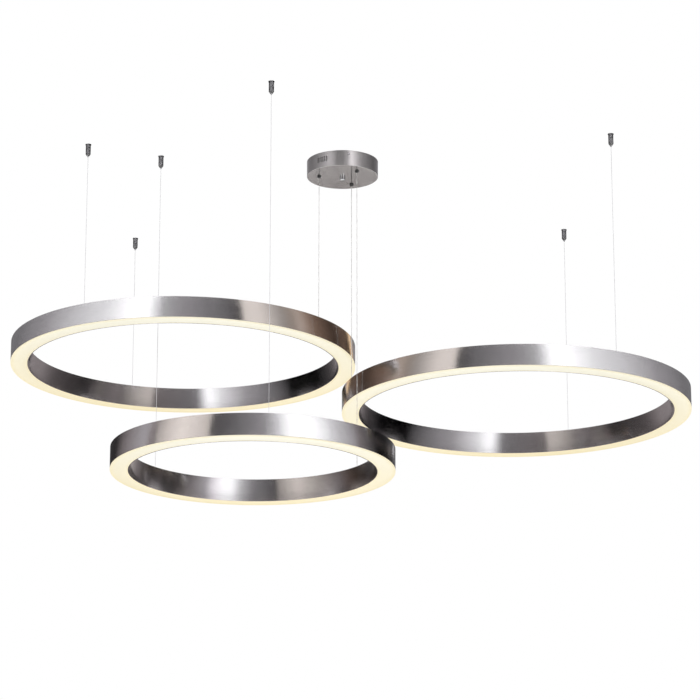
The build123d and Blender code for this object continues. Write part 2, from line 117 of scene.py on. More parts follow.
LARGE_INNER = (
    (-86, 0.36, ROSE), (-72, 0.38, ROSE), (-62, 0.14, ROSE), (-43, 0.02, ROSE), (-41, 0.14, ROSE),
    (-37, 0.25, TAUPE), (-35, 0.20, ROSE), (-30, 0.32, ROSE), (-28, 0.24, ROSE), (-25.5, 0.42, TAUPE),
    (-20, 0.85, TAUPE), (-15.4, 1.0, TAUPE), (-14.8, 0.25, ROSE), (2.6, 0.28, GREY), (5, 1.5, PALE),
    (6.6, 2.3, PALE), (8.6, 2.15, PALE), (12, 1.42, PALE), (22, 0.6, GREY), (41.9, 0.08, GREY),
    (42.1, 0.0, GREY), (60, 0.0, GREY), (72, 0.1, ROSE), (86, 0.4, ROSE),
)
SMALL_OUTER = (
    (-98, 0.05, GREY), (-84, 0.05, GREY), (-68, 0.04, ROSE), (-60, 0.30, ROSE), (-45, 0.70, GREY),
    (-42, 0.46, ROSE), (-39.5, 0.34, ROSE), (-38, 0.82, TAUPE), (-27, 1.56, TAUPE), (-15.2, 1.03, TAUPE),
    (-14.6, 0.08, GREY), (-4, 0.25, GREY), (6, 0.48, GREY), (11, 1.06, PALE), (14, 1.75, PALE),
    (18, 2.4, PALE), (24, 2.3, PALE), (29, 1.85, PALE), (36, 1.04, PALE), (44, 0.64, GREY),
    (48, 0.31, ROSE), (60, 0.0, GREY), (68, 0.02, GREY), (76, 0.08, GREY), (84, 0.2, GREY),
    (98, 0.15, GREY),
)
SMALL_INNER = (
    (-86, 0.7, TAUPE), (-72, 0.26, ROSE), (-58, 0.04, ROSE), (-52, 0.12, ROSE), (-48, 0.02, ROSE),
    (-38, 0.10, ROSE), (-25, 0.69, GREY), (-22.6, 1.35, GREY), (-20, 1.84, GREY), (-16, 2.25, PALE),
    (-12, 2.1, PALE), (-8, 0.95, PALE), (-2, 0.37, GREY), (9.8, 0.10, GREY), (10.4, 0.52, TAUPE),
    (20, 1.2, TAUPE), (32, 0.64, TAUPE), (44, 0.27, ROSE), (56, 0.06, BROWN), (70, 0.05, ROSE),
    (86, 0.2, TAUPE),
)
CANOPY_WALL = (
    (-86, 0.4, GREY), (-60, 0.27, GREY), (-34, 0.5, GREY), (-24, 0.85, GREY), (-16, 0.7, GREY),
    (-9, 0.28, GREY), (1, 0.28, GREY), (9, 0.6, GREY), (15, 1.7, GREY), (20, 1.1, GREY),
    (30, 0.5, GREY), (44, 0.29, GREY), (60, 0.17, GREY), (86, 0.4, GREY),
)
# Brightness and tint of what the canopy's floor mirrors, behind it.
CANOPY_FLOOR = (0.10, (1.0, 0.80, 0.80))
CAP_NUT = (
    (-86, 0.6, GREY), (-79, 0.6, GREY), (-76, 0.0, GREY), (-34, 0.0, GREY), (-32, 1.0, GREY),
    (-19, 1.0, GREY), (-17, 0.0, GREY), (8, 0.0, GREY), (10, 1.1, GREY), (30, 1.1, GREY),
    (32, 0.0, GREY), (76, 0.0, GREY), (79, 0.6, GREY), (86, 0.6, GREY),
)
# Surround of all the smaller pieces: bearing from the viewer's side, brightness and tint.
SURROUND = (
    (-180, 0.15, GREY), (-120, 0.08, GREY), (-80, 0.3, GREY), (-50, 1.1, GREY), (50, 1.1, GREY),
    (80, 0.3, GREY), (120, 0.08, GREY), (180, 0.15, GREY),
)


# ---- Settings --------------------------------------------------------------------------
class RingSettings(bpy.types.PropertyGroup):
    """Brushed bands and lit opal faces of the rings"""

    band_colour: FloatVectorProperty(
        name="Band colour", description="Colour of the brushed bands", subtype="COLOR",
        default=(0.50, 0.48, 0.48), min=0.0, max=1.0)
    band_roughness: FloatProperty(
        name="Band roughness", description="Gloss of the brushed bands", subtype="FACTOR",
        default=0.20, min=0.0, max=1.0)
    band_edge: FloatProperty(
        name="Band edge", description="Radius of the bands' rounded edges", default=0.3 * MM,
        min=0.0, unit="LENGTH")
    glow_middle: FloatVectorProperty(
        name="Glow middle", description="Colour of the brightest part of the lit opal face",
        subtype="COLOR", default=(1.0, 0.985, 0.86), min=0.0, max=1.0)
    glow_colour: FloatVectorProperty(
        name="Glow colour", description="Colour of the warm edges of the lit opal face", subtype="COLOR",
        default=(1.0, 0.80, 0.365), min=0.0, max=1.0)
    glow_strength: FloatProperty(
        name="Glow strength", description="Brightness of the lit opal face", default=0.83, min=0.0)
    face_edge: FloatProperty(
        name="Face edge", description="Radius of the opal face's outer edge", default=0.8 * MM,
        min=0.0, unit="LENGTH")
    segments: IntProperty(
        name="Segments", description="Straight pieces that a ring is divided into", default=288, min=24)


class HangingSettings(bpy.types.PropertyGroup):
    """Suspension wires, power cables and the dark metal that holds them"""

    wire_colour: FloatVectorProperty(
        name="Wire colour", description="Colour of the suspension wires", subtype="COLOR",
        default=(0.80, 0.80, 0.80), min=0.0, max=1.0)
    wire_strands: IntProperty(
        name="Strands", description="Outer strands of a suspension wire", default=6, min=3)
    wire_lay: FloatProperty(
        name="Lay", description="Length in which a strand goes once round the wire", default=14 * MM,
        min=1 * MM, unit="LENGTH")
    core_lay: FloatProperty(
        name="Core lay", description="Length in which the cable's two cores twist once", default=30 * MM,
        min=1 * MM, unit="LENGTH")
    gunmetal: FloatVectorProperty(
        name="Gunmetal", description="Colour of the anchors and glands", subtype="COLOR",
        default=(0.195, 0.195, 0.195), min=0.0, max=1.0)


class CanopySettings(bpy.types.PropertyGroup):
    """Brushed metal of the canopy"""

    metal_colour: FloatVectorProperty(
        name="Metal colour", description="Colour of the canopy's brushed metal", subtype="COLOR",
        default=(0.50, 0.48, 0.465), min=0.0, max=1.0)
    roughness: FloatProperty(
        name="Roughness", description="Gloss of the canopy's brushed wall", subtype="FACTOR",
        default=0.30, min=0.0, max=1.0)
    floor_roughness: FloatProperty(
        name="Floor roughness", description="Gloss of the canopy's spun floor", subtype="FACTOR",
        default=0.12, min=0.0, max=1.0)


class StudioSettings(bpy.types.PropertyGroup):
    """Camera, floor and what the chandelier mirrors"""

    camera_place: FloatVectorProperty(
        name="Camera place", description="Where the camera stands, from the canopy's bracket",
        subtype="TRANSLATION", default=(0.0216, -8.136, -2.945))
    camera_pitch: FloatProperty(
        name="Camera pitch", description="How far the camera looks up", subtype="ANGLE",
        default=math.radians(16.317))
    lens: FloatProperty(
        name="Lens", description="Focal length of the camera", default=154.3, min=10.0, unit="CAMERA")
    floor_height: FloatProperty(
        name="Floor height", description="Height of the floor, from the ceiling", default=-4.5,
        unit="LENGTH")
    screen_distance: FloatProperty(
        name="Screen distance", description="Distance of the screens that the metal mirrors", default=6.0,
        min=1.0, unit="LENGTH")
    screen_top: FloatProperty(
        name="Screen top", description="Height of the screens' upper edge", default=12.0, unit="LENGTH")
    screen_power: FloatProperty(
        name="Reflections", description="Brightness of the screens", default=1.0, min=0.0)
    daylight: FloatProperty(
        name="Surround", description="Brightness of the white surround on matt surfaces", default=0.85,
        min=0.0)


# ---- Meshes ----------------------------------------------------------------------------
def add_piece(name, mesh, body, place):
    """Adds a mesh at a place, as a piece that rides on a body."""
    piece = bpy.data.objects.new(name, mesh)
    piece.location = place
    bpy.context.scene.collection.objects.link(piece)
    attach(piece, body)
    return piece


def rounded(points, radii, steps=3):
    """Closed outline through the points, with each corner turned into an arc of its radius."""
    outline = []
    count = len(points)
    for index, point in enumerate(points):
        corner = Vector(point)
        before = Vector(points[index - 1]) - corner
        after = Vector(points[(index + 1) % count]) - corner
        radius = radii[index]
        if radius <= 0:
            outline.append(corner)
            continue
        half = before.angle(after) / 2
        reach = radius / math.tan(half)
        bisector = (before.normalized() + after.normalized()).normalized()
        middle = corner + bisector * radius / math.sin(half)
        start = corner + before.normalized() * reach - middle
        end = corner + after.normalized() * reach - middle
        turn = start.angle_signed(end)
        for step in range(steps + 1):
            angle = -turn * step / steps
            arm = Vector((
                start.x * math.cos(angle) - start.y * math.sin(angle),
                start.x * math.sin(angle) + start.y * math.cos(angle),
            ))
            outline.append(middle + arm)
    return outline


def lathe(name, outline, segments):
    """Mesh turned about Z from a closed (radius, height) outline."""
    mesh = bpy.data.meshes.new(name)
    shape = bmesh.new()
    rows = []
    for index in range(segments):
        angle = 2 * math.pi * index / segments
        rows.append([
            shape.verts.new((point[0] * math.cos(angle), point[0] * math.sin(angle), point[1]))
            for point in outline
        ])
    for index in range(segments):
        here, following = rows[index], rows[(index + 1) % segments]
        for spot in range(len(outline)):
            nearby = (spot + 1) % len(outline)
            shape.faces.new((here[spot], following[spot], following[nearby], here[nearby]))
    bmesh.ops.recalc_face_normals(shape, faces=shape.faces)
    shape.to_mesh(mesh)
    shape.free()
    smooth(mesh)
    return mesh


def smooth(mesh, limit=math.radians(32)):
    """Smooth shading, with the edges sharper than the limit left crisp."""
    mesh.shade_smooth()
    mesh.set_sharp_from_angle(angle=limit)


def twisted_tube(name, section, low, high, lay, step):
    """Mesh of a section that turns as it climbs from low to high, closed at both ends."""
    mesh = bpy.data.meshes.new(name)
    shape = bmesh.new()
    count = max(2, round((high - low) / step))
    rows = []
    for index in range(count + 1):
        height = low + (high - low) * index / count
        turn = 2 * math.pi * (height - low) / lay
        rows.append([
            shape.verts.new((
                x * math.cos(turn) - y * math.sin(turn), x * math.sin(turn) + y * math.cos(turn), height))
            for x, y in section
        ])
    for here, above in zip(rows, rows[1:]):
        for spot in range(len(section)):
            nearby = (spot + 1) % len(section)
            shape.faces.new((here[spot], here[nearby], above[nearby], above[spot]))
    shape.faces.new(rows[0][::-1])
    shape.faces.new(rows[-1])
    shape.to_mesh(mesh)
    shape.free()
    mesh.shade_smooth()
    return mesh


def fluted(name, source, flutes=6, turn=math.radians(-2), depth=0.8 * MM, fade=0.8 * MM):
    """Copy of a round nut's mesh with upright grooves in its wall, which run out in its crown."""
    weld = 0.01 * MM
    mesh = bpy.data.meshes.new(name)
    shape = bmesh.new()
    shape.from_mesh(source)
    bmesh.ops.remove_doubles(shape, verts=shape.verts, dist=weld)
    # How deep each vertex sits in a groove; the chrome paints shade there by this.
    groove_shade = shape.verts.layers.float.new("groove_shade")
    radius = max(vertex.co.xy.length for vertex in shape.verts)
    for vertex in shape.verts:
        reach = vertex.co.xy.length
        wave = math.cos(flutes * (math.atan2(vertex.co.x, -vertex.co.y) - turn))
        sunk = max(0.0, wave) * max(0.0, 1 - (radius - reach) / fade)
        vertex.co.xy *= 1 - sunk * depth / radius
        vertex[groove_shade] = sunk
    shape.to_mesh(mesh)
    shape.free()
    smooth(mesh)
    return mesh


# ---- Sizes read from the frame ---------------------------------------------------------
def ring_sizes(ring):
    """Plan centre, radii and heights of a ring, from its bands, cover and diffuser."""
    band_low, band_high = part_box(ring + "_outer_band")
    lip_low, lip_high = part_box(ring + "_inner_band")
    face_low, face_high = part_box(ring + "_diffuser")
    cover_low, cover_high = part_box(ring + "_top_cover")
    outer = (band_high.x - band_low.x) / 2
    wall = outer - (cover_high.x - cover_low.x) / 2
    return {
        "centre": Vector(((band_low.x + band_high.x) / 2, (band_low.y + band_high.y) / 2, 0)),
        "outer": outer,
        "wall": wall,
        "inner": (lip_high.x - lip_low.x) / 2 - wall,
        "top": band_high.z,
        "band_foot": band_low.z,
        "lip": lip_low.z,
        "face": face_low.z,
        "skirt_top": face_high.z,
    }


# ---- Materials -------------------------------------------------------------------------
def add_node(tree, kind, inputs=None, **settings):
    """Adds a node with its settings. An input is a value, or the socket that feeds it."""
    node = tree.nodes.new(kind)
    for name, value in settings.items():
        setattr(node, name, value)
    for key, value in (inputs or {}).items():
        if isinstance(value, bpy.types.NodeSocket):
            tree.links.new(value, node.inputs[key])
        else:
            node.inputs[key].default_value = value
    return node


def new_material(name, **inputs):
    """Material with its shader's own inputs set by name, such as Roughness or Metallic."""
    material = bpy.data.materials.new(name)
    material.use_nodes = True
    tree = material.node_tree
    shader = tree.nodes["Principled BSDF"]
    for key, value in inputs.items():
        shader.inputs[key.replace("_", " ")].default_value = value
    return material, tree, shader


def opaque(colour, share=1.0):
    """A colour, or a share of it, with an alpha of 1."""
    return (colour[0] * share, colour[1] * share, colour[2] * share, 1.0)


def wear(tree, shader, colour, scale, spread, gloss, roughness, height=0.0):
    """Soft change of colour, gloss and height over the surface, by a noise at a scale."""
    place = add_node(tree, "ShaderNodeTexCoord")
    noise = add_node(
        tree, "ShaderNodeTexNoise", {"Vector": place.outputs["Object"], "Scale": scale, "Detail": 4.0})
    tint = add_node(
        tree, "ShaderNodeMix",
        {"Factor": noise.outputs["Fac"], 6: opaque(colour, 1 - spread), 7: opaque(colour, 1 + spread)},
        data_type="RGBA")
    tree.links.new(tint.outputs[2], shader.inputs["Base Color"])
    shine = add_node(
        tree, "ShaderNodeMapRange",
        {"Value": noise.outputs["Fac"], "To Min": roughness - gloss, "To Max": roughness + gloss})
    tree.links.new(shine.outputs["Result"], shader.inputs["Roughness"])
    if height:
        relief = add_node(
            tree, "ShaderNodeBump", {"Height": noise.outputs["Fac"], "Strength": 0.3, "Distance": height})
        tree.links.new(relief.outputs["Normal"], shader.inputs["Normal"])


def level_share(tree, wall=0.6, level=0.95):
    """1 on faces that look straight up or down, 0 on upright walls, by the normal's height."""
    geometry = add_node(tree, "ShaderNodeNewGeometry")
    parts = add_node(tree, "ShaderNodeSeparateXYZ", {0: geometry.outputs["Normal"]})
    height = add_node(tree, "ShaderNodeMath", {0: parts.outputs["Z"]}, operation="ABSOLUTE")
    share = add_node(
        tree, "ShaderNodeMapRange", {"Value": height.outputs[0], "From Min": wall, "From Max": level})
    return share.outputs["Result"]


def lathe_streaks(tree, along, across):
    """Coordinates that stretch a noise into streaks round the Z axis, and those of a unit circle."""
    place = add_node(tree, "ShaderNodeTexCoord")
    parts = add_node(tree, "ShaderNodeSeparateXYZ", {0: place.outputs["Object"]})
    flat = add_node(tree, "ShaderNodeCombineXYZ", {"X": parts.outputs["X"], "Y": parts.outputs["Y"]})
    unit = add_node(tree, "ShaderNodeVectorMath", {0: flat.outputs[0]}, operation="NORMALIZE")
    radius = add_node(tree, "ShaderNodeVectorMath", {0: flat.outputs[0]}, operation="LENGTH")
    level = add_node(
        tree, "ShaderNodeMath", {0: radius.outputs["Value"], 1: parts.outputs["Z"]}, operation="ADD")
    climb = add_node(tree, "ShaderNodeMath", {0: level.outputs[0], 1: across}, operation="MULTIPLY")
    stretched = add_node(
        tree, "ShaderNodeVectorMath", {0: unit.outputs[0], "Scale": along}, operation="SCALE")
    lifted = add_node(tree, "ShaderNodeCombineXYZ", {"Z": climb.outputs[0]})
    streaks = add_node(
        tree, "ShaderNodeVectorMath", {0: stretched.outputs[0], 1: lifted.outputs[0]}, operation="ADD")
    return streaks.outputs[0], unit.outputs[0]


def brushed_metal(name, colour, roughness, along=10.0, across=420.0, lean=0.88, depth=0.002 * MM,
                  spread=0.09, play=0.04, level_roughness=None):
    """Metal brushed round its axis: fine streaks run round it, and its gloss spreads across them.

    With a level roughness, the faces square to the axis have that gloss, and a soft fan of tones: a painted
    sheen, like the fanned highlights of spun metal.
    """
    material, tree, shader = new_material(
        name, Metallic=1.0, Anisotropic=lean, Anisotropic_Rotation=0.25)
    streaks, circle = lathe_streaks(tree, along, across)
    noise = add_node(
        tree, "ShaderNodeTexNoise", {"Vector": streaks, "Scale": 1.0, "Detail": 3.0, "Roughness": 0.65})
    tone = noise.outputs["Fac"]
    shine = add_node(
        tree, "ShaderNodeMapRange", {"Value": tone, "To Min": roughness - play, "To Max": roughness + play})
    gloss = shine.outputs["Result"]
    if level_roughness is not None:
        level = level_share(tree)
        # Painted sheen on the level faces: lighter and darker wedges round the axis, as the fanned
        # highlights of spun metal.
        sheen_fan = add_node(tree, "ShaderNodeTexNoise", {"Vector": circle, "Scale": 2.2, "Detail": 2.0})
        painted_sheen_wedges = add_node(
            tree, "ShaderNodeMapRange", {"Value": sheen_fan.outputs["Fac"], "From Min": 0.32, "From Max": 0.68})
        tone = add_node(tree, "ShaderNodeMix", {0: level, 2: tone, 3: painted_sheen_wedges.outputs["Result"]}).outputs[0]
        gloss = add_node(tree, "ShaderNodeMix", {0: level, 2: gloss, 3: level_roughness}).outputs[0]
    tint = add_node(
        tree, "ShaderNodeMix",
        {"Factor": tone, 6: opaque(colour, 1 - spread), 7: opaque(colour, 1 + spread)}, data_type="RGBA")
    tree.links.new(tint.outputs[2], shader.inputs["Base Color"])
    tree.links.new(gloss, shader.inputs["Roughness"])
    relief = add_node(tree, "ShaderNodeBump", {"Height": tone, "Strength": 0.35, "Distance": depth})
    tree.links.new(relief.outputs["Normal"], shader.inputs["Normal"])
    grain_way = add_node(tree, "ShaderNodeTangent", direction_type="RADIAL", axis="Z").outputs["Tangent"]
    if level_roughness is not None:
        straight = (1.0, 0.0, 0.0)
        mixed = add_node(
            tree, "ShaderNodeMix", {0: level, 4: grain_way, 5: straight}, data_type="VECTOR")
        grain_way = mixed.outputs[1]
    tree.links.new(grain_way, shader.inputs["Tangent"])
    return material


def plain_metal(name, colour, roughness, scale, spread=0.10):
    """Metal with an even finish and slight wear."""
    material, tree, shader = new_material(name, Metallic=1.0)
    wear(tree, shader, colour, scale, spread, gloss=roughness * 0.2, roughness=roughness)
    return material


def chrome_with_painted_groove_shade(colour, groove_shade_share=0.02):
    """Polished chrome, with painted shade down in its grooves, where only a share of its colour is left."""
    material, tree, shader = new_material("chrome_with_painted_groove_shade", Metallic=1.0)
    wear(tree, shader, colour, scale=120.0, spread=0.03, gloss=0.012, roughness=0.06)
    polish = shader.inputs["Base Color"].links[0].from_socket
    # Painted shade: the grooves keep only a small share of the chrome's colour, so they show as dark bars.
    groove_shade = add_node(tree, "ShaderNodeAttribute", attribute_name="groove_shade")
    tint = add_node(
        tree, "ShaderNodeMix",
        {"Factor": groove_shade.outputs["Fac"], 6: polish, 7: opaque(colour, groove_shade_share)}, data_type="RGBA")
    tree.links.new(tint.outputs[2], shader.inputs["Base Color"])
    return material


def moulded_plastic(name, colour, roughness):
    """Plastic with the fine spark texture of a mould."""
    material, tree, shader = new_material(name)
    wear(tree, shader, colour, scale=900.0, spread=0.03, gloss=0.05, roughness=roughness, height=0.03 * MM)
    return material


def opal_material(ring, settings):
    """Lit opal: whitest along the middle of the face, warmer towards its edges and its far side."""
    # The unlit opal's colour as a share of the glow's, where the edge's warmth starts as a share of
    # the face's width, and how much of the warm colour the edges and the far side take on.
    unlit_share = 0.12
    edge_start = 0.2
    edge_warmth = 0.18
    far_warmth = 0.55
    sizes = ring_sizes(ring)
    material, tree, shader = new_material(ring + "_opal", Roughness=0.35, IOR=1.46)
    shader.inputs["Base Color"].default_value = opaque(settings.glow_colour, unlit_share)
    place = add_node(tree, "ShaderNodeTexCoord")
    parts = add_node(tree, "ShaderNodeSeparateXYZ", {0: place.outputs["Object"]})
    flat = add_node(tree, "ShaderNodeCombineXYZ", {"X": parts.outputs["X"], "Y": parts.outputs["Y"]})
    radius = add_node(tree, "ShaderNodeVectorMath", {0: flat.outputs[0]}, operation="LENGTH")
    width = sizes["outer"] - sizes["inner"]
    from_middle = add_node(
        tree, "ShaderNodeMath", {0: radius.outputs["Value"], 1: sizes["outer"] - width / 2},
        operation="SUBTRACT")
    off = add_node(tree, "ShaderNodeMath", {0: from_middle.outputs[0]}, operation="ABSOLUTE")
    edge = add_node(
        tree, "ShaderNodeMapRange",
        {"Value": off.outputs[0], "From Min": width * edge_start, "From Max": width / 2,
         "To Max": edge_warmth},
        interpolation_type="SMOOTHSTEP")
    far = add_node(
        tree, "ShaderNodeMapRange",
        {"Value": parts.outputs["Y"], "From Min": -sizes["outer"], "From Max": sizes["outer"],
         "To Max": far_warmth})
    warmth = add_node(
        tree, "ShaderNodeMath", {0: edge.outputs[0], 1: far.outputs[0]}, operation="ADD", use_clamp=True)
    tone = add_node(
        tree, "ShaderNodeMix",
        {"Factor": warmth.outputs[0], 6: opaque(settings.glow_middle), 7: opaque(settings.glow_colour)},
        data_type="RGBA")
    tree.links.new(tone.outputs[2], shader.inputs["Emission Color"])
    shader.inputs["Emission Strength"].default_value = settings.glow_strength
    return material


def stranded_metal(colour):
    """Bright drawn steel."""
    material, tree, shader = new_material("stranded_steel", Metallic=0.85)
    wear(tree, shader, colour, scale=400.0, spread=0.10, gloss=0.06, roughness=0.42)
    return material


def clear_jacket():
    """Clear cable jacket with a faint haze."""
    material, tree, shader = new_material("clear_jacket", IOR=1.3, Transmission_Weight=0.85)
    wear(tree, shader, (0.93, 0.93, 0.92), scale=300.0, spread=0.02, gloss=0.05, roughness=0.16)
    return material


def assign(target, material):
    """Gives a piece or a node one material all over."""
    target.data.materials.clear()
    target.data.materials.append(material)


# ---- Operators -------------------------------------------------------------------------
class CHANDELIER_OT_bands(bpy.types.Operator):
    """Makes the brushed outer and inner bands of each ring"""

    bl_idname = "chandelier.bands"
    bl_label = "Bands"

    def execute(self, context):
        settings = context.scene.chandelier_ring
        metal = brushed_metal("brushed_band", settings.band_colour, settings.band_roughness)
        edges = [settings.band_edge] * 4
        for ring in RINGS:
            sizes = ring_sizes(ring)
            for side, radius, foot in (
                ("outer", sizes["outer"] - sizes["wall"], sizes["band_foot"]),
                ("inner", sizes["inner"], sizes["lip"]),
            ):
                corners = (
                    (radius, foot), (radius + sizes["wall"], foot),
                    (radius + sizes["wall"], sizes["top"]), (radius, sizes["top"]),
                )
                mesh = lathe(f"{ring}_{side}_band_brushed", rounded(corners, edges), settings.segments)
                band = add_piece(mesh.name, mesh, ring, sizes["centre"])
                assign(band, metal)
                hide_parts(f"{ring}_{side}_band")
        return {"FINISHED"}


class CHANDELIER_OT_opal_faces(bpy.types.Operator):
    """Makes the lit opal channel under each ring"""

    bl_idname = "chandelier.opal_faces"
    bl_label = "Opal faces"

    def execute(self, context):
        settings = context.scene.chandelier_ring
        # The CAD diffuser's own sizes, which no box in the frame shows.
        play = 0.2 * MM
        skirt = 2.0 * MM
        face = 2.5 * MM
        inner_edge = 0.3 * MM
        for ring in RINGS:
            sizes = ring_sizes(ring)
            low = sizes["face"]
            outer = sizes["outer"]
            behind_outer = outer - sizes["wall"] - play
            behind_inner = sizes["inner"] + sizes["wall"] + play
            shoulder = sizes["band_foot"] - play
            corners = (
                (behind_inner, low), (outer, low), (outer, shoulder), (behind_outer, shoulder),
                (behind_outer, sizes["skirt_top"]), (behind_outer - skirt, sizes["skirt_top"]),
                (behind_outer - skirt, low + face), (behind_inner + skirt, low + face),
                (behind_inner + skirt, sizes["skirt_top"]), (behind_inner, sizes["skirt_top"]),
            )
            edges = [inner_edge, settings.face_edge, settings.face_edge]
            radii = edges + [0.0] * (len(corners) - len(edges))
            mesh = lathe(ring + "_opal_channel", rounded(corners, radii), settings.segments)
            channel = add_piece(mesh.name, mesh, ring, sizes["centre"])
            assign(channel, opal_material(ring, settings))
            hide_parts(ring + "_diffuser")
        return {"FINISHED"}


class CHANDELIER_OT_ring_insides(bpy.types.Operator):
    """Finishes each ring's cover, LED plate, boards, spacers, screws and fittings"""

    bl_idname = "chandelier.ring_insides"
    bl_label = "Ring insides"

    def execute(self, context):
        satin = plain_metal("satin_cover", (0.62, 0.61, 0.60), roughness=0.38, scale=60.0)
        screws = plain_metal("bright_screws", (0.72, 0.72, 0.72), roughness=0.22, scale=300.0)
        board = moulded_plastic("led_board", (0.86, 0.86, 0.83), roughness=0.35)
        finishes = {
            "top_cover": satin, "led_plate": satin, "spacers": satin, "led_boards": board,
            "cover_screws": screws, "wire_fittings": screws,
        }
        for ring in RINGS:
            for piece, material in finishes.items():
                assign(frame["nodes"][f"{ring}_{piece}"], material)
        return {"FINISHED"}


class CHANDELIER_OT_wires(bpy.types.Operator):
    """Makes the stranded suspension wires"""

    bl_idname = "chandelier.wires"
    bl_label = "Suspension wires"

    def execute(self, context):
        settings = context.scene.chandelier_hanging
        steel = stranded_metal(settings.wire_colour)
        step = settings.wire_lay / 10
        for ring in RINGS:
            node = ring + "_suspension_wires"
            for letter, x, y, radius, low, high in hung_lines(node):
                section = lobed_section(radius, settings.wire_strands)
                mesh = twisted_tube(
                    f"{ring}_wire_{letter}", section, low, high, settings.wire_lay, step)
                wire = add_piece(mesh.name, mesh, "root", (x, y, 0))
                assign(wire, steel)
                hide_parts(node)
                draw_in(wire, ring, low, high)
        return {"FINISHED"}


class CHANDELIER_OT_cables(bpy.types.Operator):
    """Makes the clear power cables with their two twisted cores"""

    bl_idname = "chandelier.cables"
    bl_label = "Power cables"

    def execute(self, context):
        settings = context.scene.chandelier_hanging
        jacket = clear_jacket()
        tinned = plain_metal("tinned_core", (0.80, 0.79, 0.77), roughness=0.30, scale=500.0)
        jacket_step = 20 * MM
        core_step = settings.core_lay / 12
        # A core's radius and its place off the middle, as shares of the jacket's radius.
        core_size = 0.36
        core_shift = 0.40
        inset = 0.1 * MM
        for ring in RINGS:
            node = ring + "_power_cable"
            for _, x, y, radius, low, high in hung_lines(node):
                section = round_section(radius, sides=16)
                mesh = twisted_tube(
                    f"{ring}_cable_jacket", section, low, high, settings.core_lay, jacket_step)
                sheath = add_piece(mesh.name, mesh, "root", (x, y, 0))
                assign(sheath, jacket)
                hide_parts(node)
                draw_in(sheath, ring, low, high)
                for core, side in (("a", 1), ("b", -1)):
                    section = round_section(radius * core_size, sides=8, shift=side * radius * core_shift)
                    mesh = twisted_tube(
                        f"{ring}_cable_core_{core}", section, low + inset, high - inset,
                        settings.core_lay, core_step)
                    conductor = add_piece(mesh.name, mesh, "root", (x, y, 0))
                    assign(conductor, tinned)
                    draw_in(conductor, ring, low, high)
        return {"FINISHED"}


class CHANDELIER_OT_anchors(bpy.types.Operator):
    """Finishes the ceiling anchors, the wire grippers and their release plungers"""

    bl_idname = "chandelier.anchors"
    bl_label = "Ceiling anchors"

    def execute(self, context):
        settings = context.scene.chandelier_hanging
        gunmetal = plain_metal("gunmetal", settings.gunmetal, roughness=0.42, scale=120.0)
        nickel = plain_metal("bright_nickel", (0.60, 0.60, 0.60), roughness=0.20, scale=300.0)
        for node in ("anchor_bases", "anchor_sleeves", "gripper_noses"):
            assign(frame["nodes"][node], gunmetal)
        for ring in RINGS:
            for letter in "ab":
                assign(frame["nodes"][f"{ring}_release_plunger_{letter}"], nickel)
        return {"FINISHED"}


class CHANDELIER_OT_canopy(bpy.types.Operator):
    """Makes the grooved cap nut, and finishes the canopy and everything in it and on it"""

    bl_idname = "chandelier.canopy"
    bl_label = "Canopy"

    def execute(self, context):
        settings = context.scene.chandelier_canopy
        hanging = context.scene.chandelier_hanging
        spun = brushed_metal(
            "spun_canopy", settings.metal_colour, settings.roughness, along=3.0, across=900.0,
            level_roughness=settings.floor_roughness)
        zinc = plain_metal("zinc_plate", (0.66, 0.66, 0.64), roughness=0.36, scale=45.0, spread=0.16)
        screws = plain_metal("nickel_screws", (0.42, 0.41, 0.41), roughness=0.24, scale=300.0)
        dark = opaque(hanging.gunmetal, share=0.45)
        gunmetal = plain_metal("dark_glands", dark, roughness=0.36, scale=120.0)
        driver = moulded_plastic("driver_case", (0.80, 0.80, 0.78), roughness=0.42)
        terminal = moulded_plastic("terminal_plastic", (0.84, 0.83, 0.78), roughness=0.35)
        for node, material in (
            ("canopy_shell", spun), ("ceiling_bracket", zinc), ("centre_stud", zinc), ("gland_nuts", zinc),
            ("canopy_side_screws", screws), ("gland_grub_screws", screws), ("cable_glands", gunmetal),
            ("led_drivers", driver), ("terminal_block", terminal),
        ):
            assign(frame["nodes"][node], material)
        mesh = fluted("centre_cap_nut_fluted", frame["nodes"]["centre_cap_nut"].data)
        nut = add_piece(mesh.name, mesh, "root", (0, 0, 0))
        # The nut's chrome has painted shade in its grooves.
        assign(nut, chrome_with_painted_groove_shade((0.82, 0.82, 0.83)))
        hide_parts("centre_cap_nut")
        return {"FINISHED"}


class CHANDELIER_OT_studio(bpy.types.Operator):
    """Sets the white surround, the floor, the screens, the soft light and the camera"""

    bl_idname = "chandelier.studio"
    bl_label = "Studio"

    def execute(self, context):
        settings = context.scene.chandelier_studio
        make_surround(settings)
        make_floor(settings)
        make_screens(settings)
        make_cable_shades()
        make_ceiling_patch()
        make_soft_light()
        make_camera(settings)
        context.scene.view_settings.view_transform = "Standard"
        return {"FINISHED"}


# ---- Wires and cables ------------------------------------------------------------------
def hung_lines(node):
    """Each upright line of a node: letter, plan place, radius and both ends."""
    low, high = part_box(node)
    points = {}
    for vertex in frame["nodes"][node].data.vertices:
        key = "a" if is_near(vertex.co, low, high) else "b"
        points.setdefault(key, []).append(vertex.co)
    for letter in sorted(points):
        xs = [co.x for co in points[letter]]
        ys = [co.y for co in points[letter]]
        radius = (max(xs) - min(xs)) / 2
        yield letter, (max(xs) + min(xs)) / 2, (max(ys) + min(ys)) / 2, radius, low.z, high.z


def is_near(point, low, high, single=10 * MM):
    """True for points of a node's nearer line, or of its only one where the node is narrow."""
    return point.y <= (low.y + high.y) / 2 or high.y - low.y < single


def round_section(radius, sides, shift=0.0):
    """Outline of a round line, which may be shifted towards +X."""
    angles = [2 * math.pi * side / sides for side in range(sides)]
    return [(shift + radius * math.cos(angle), radius * math.sin(angle)) for angle in angles]


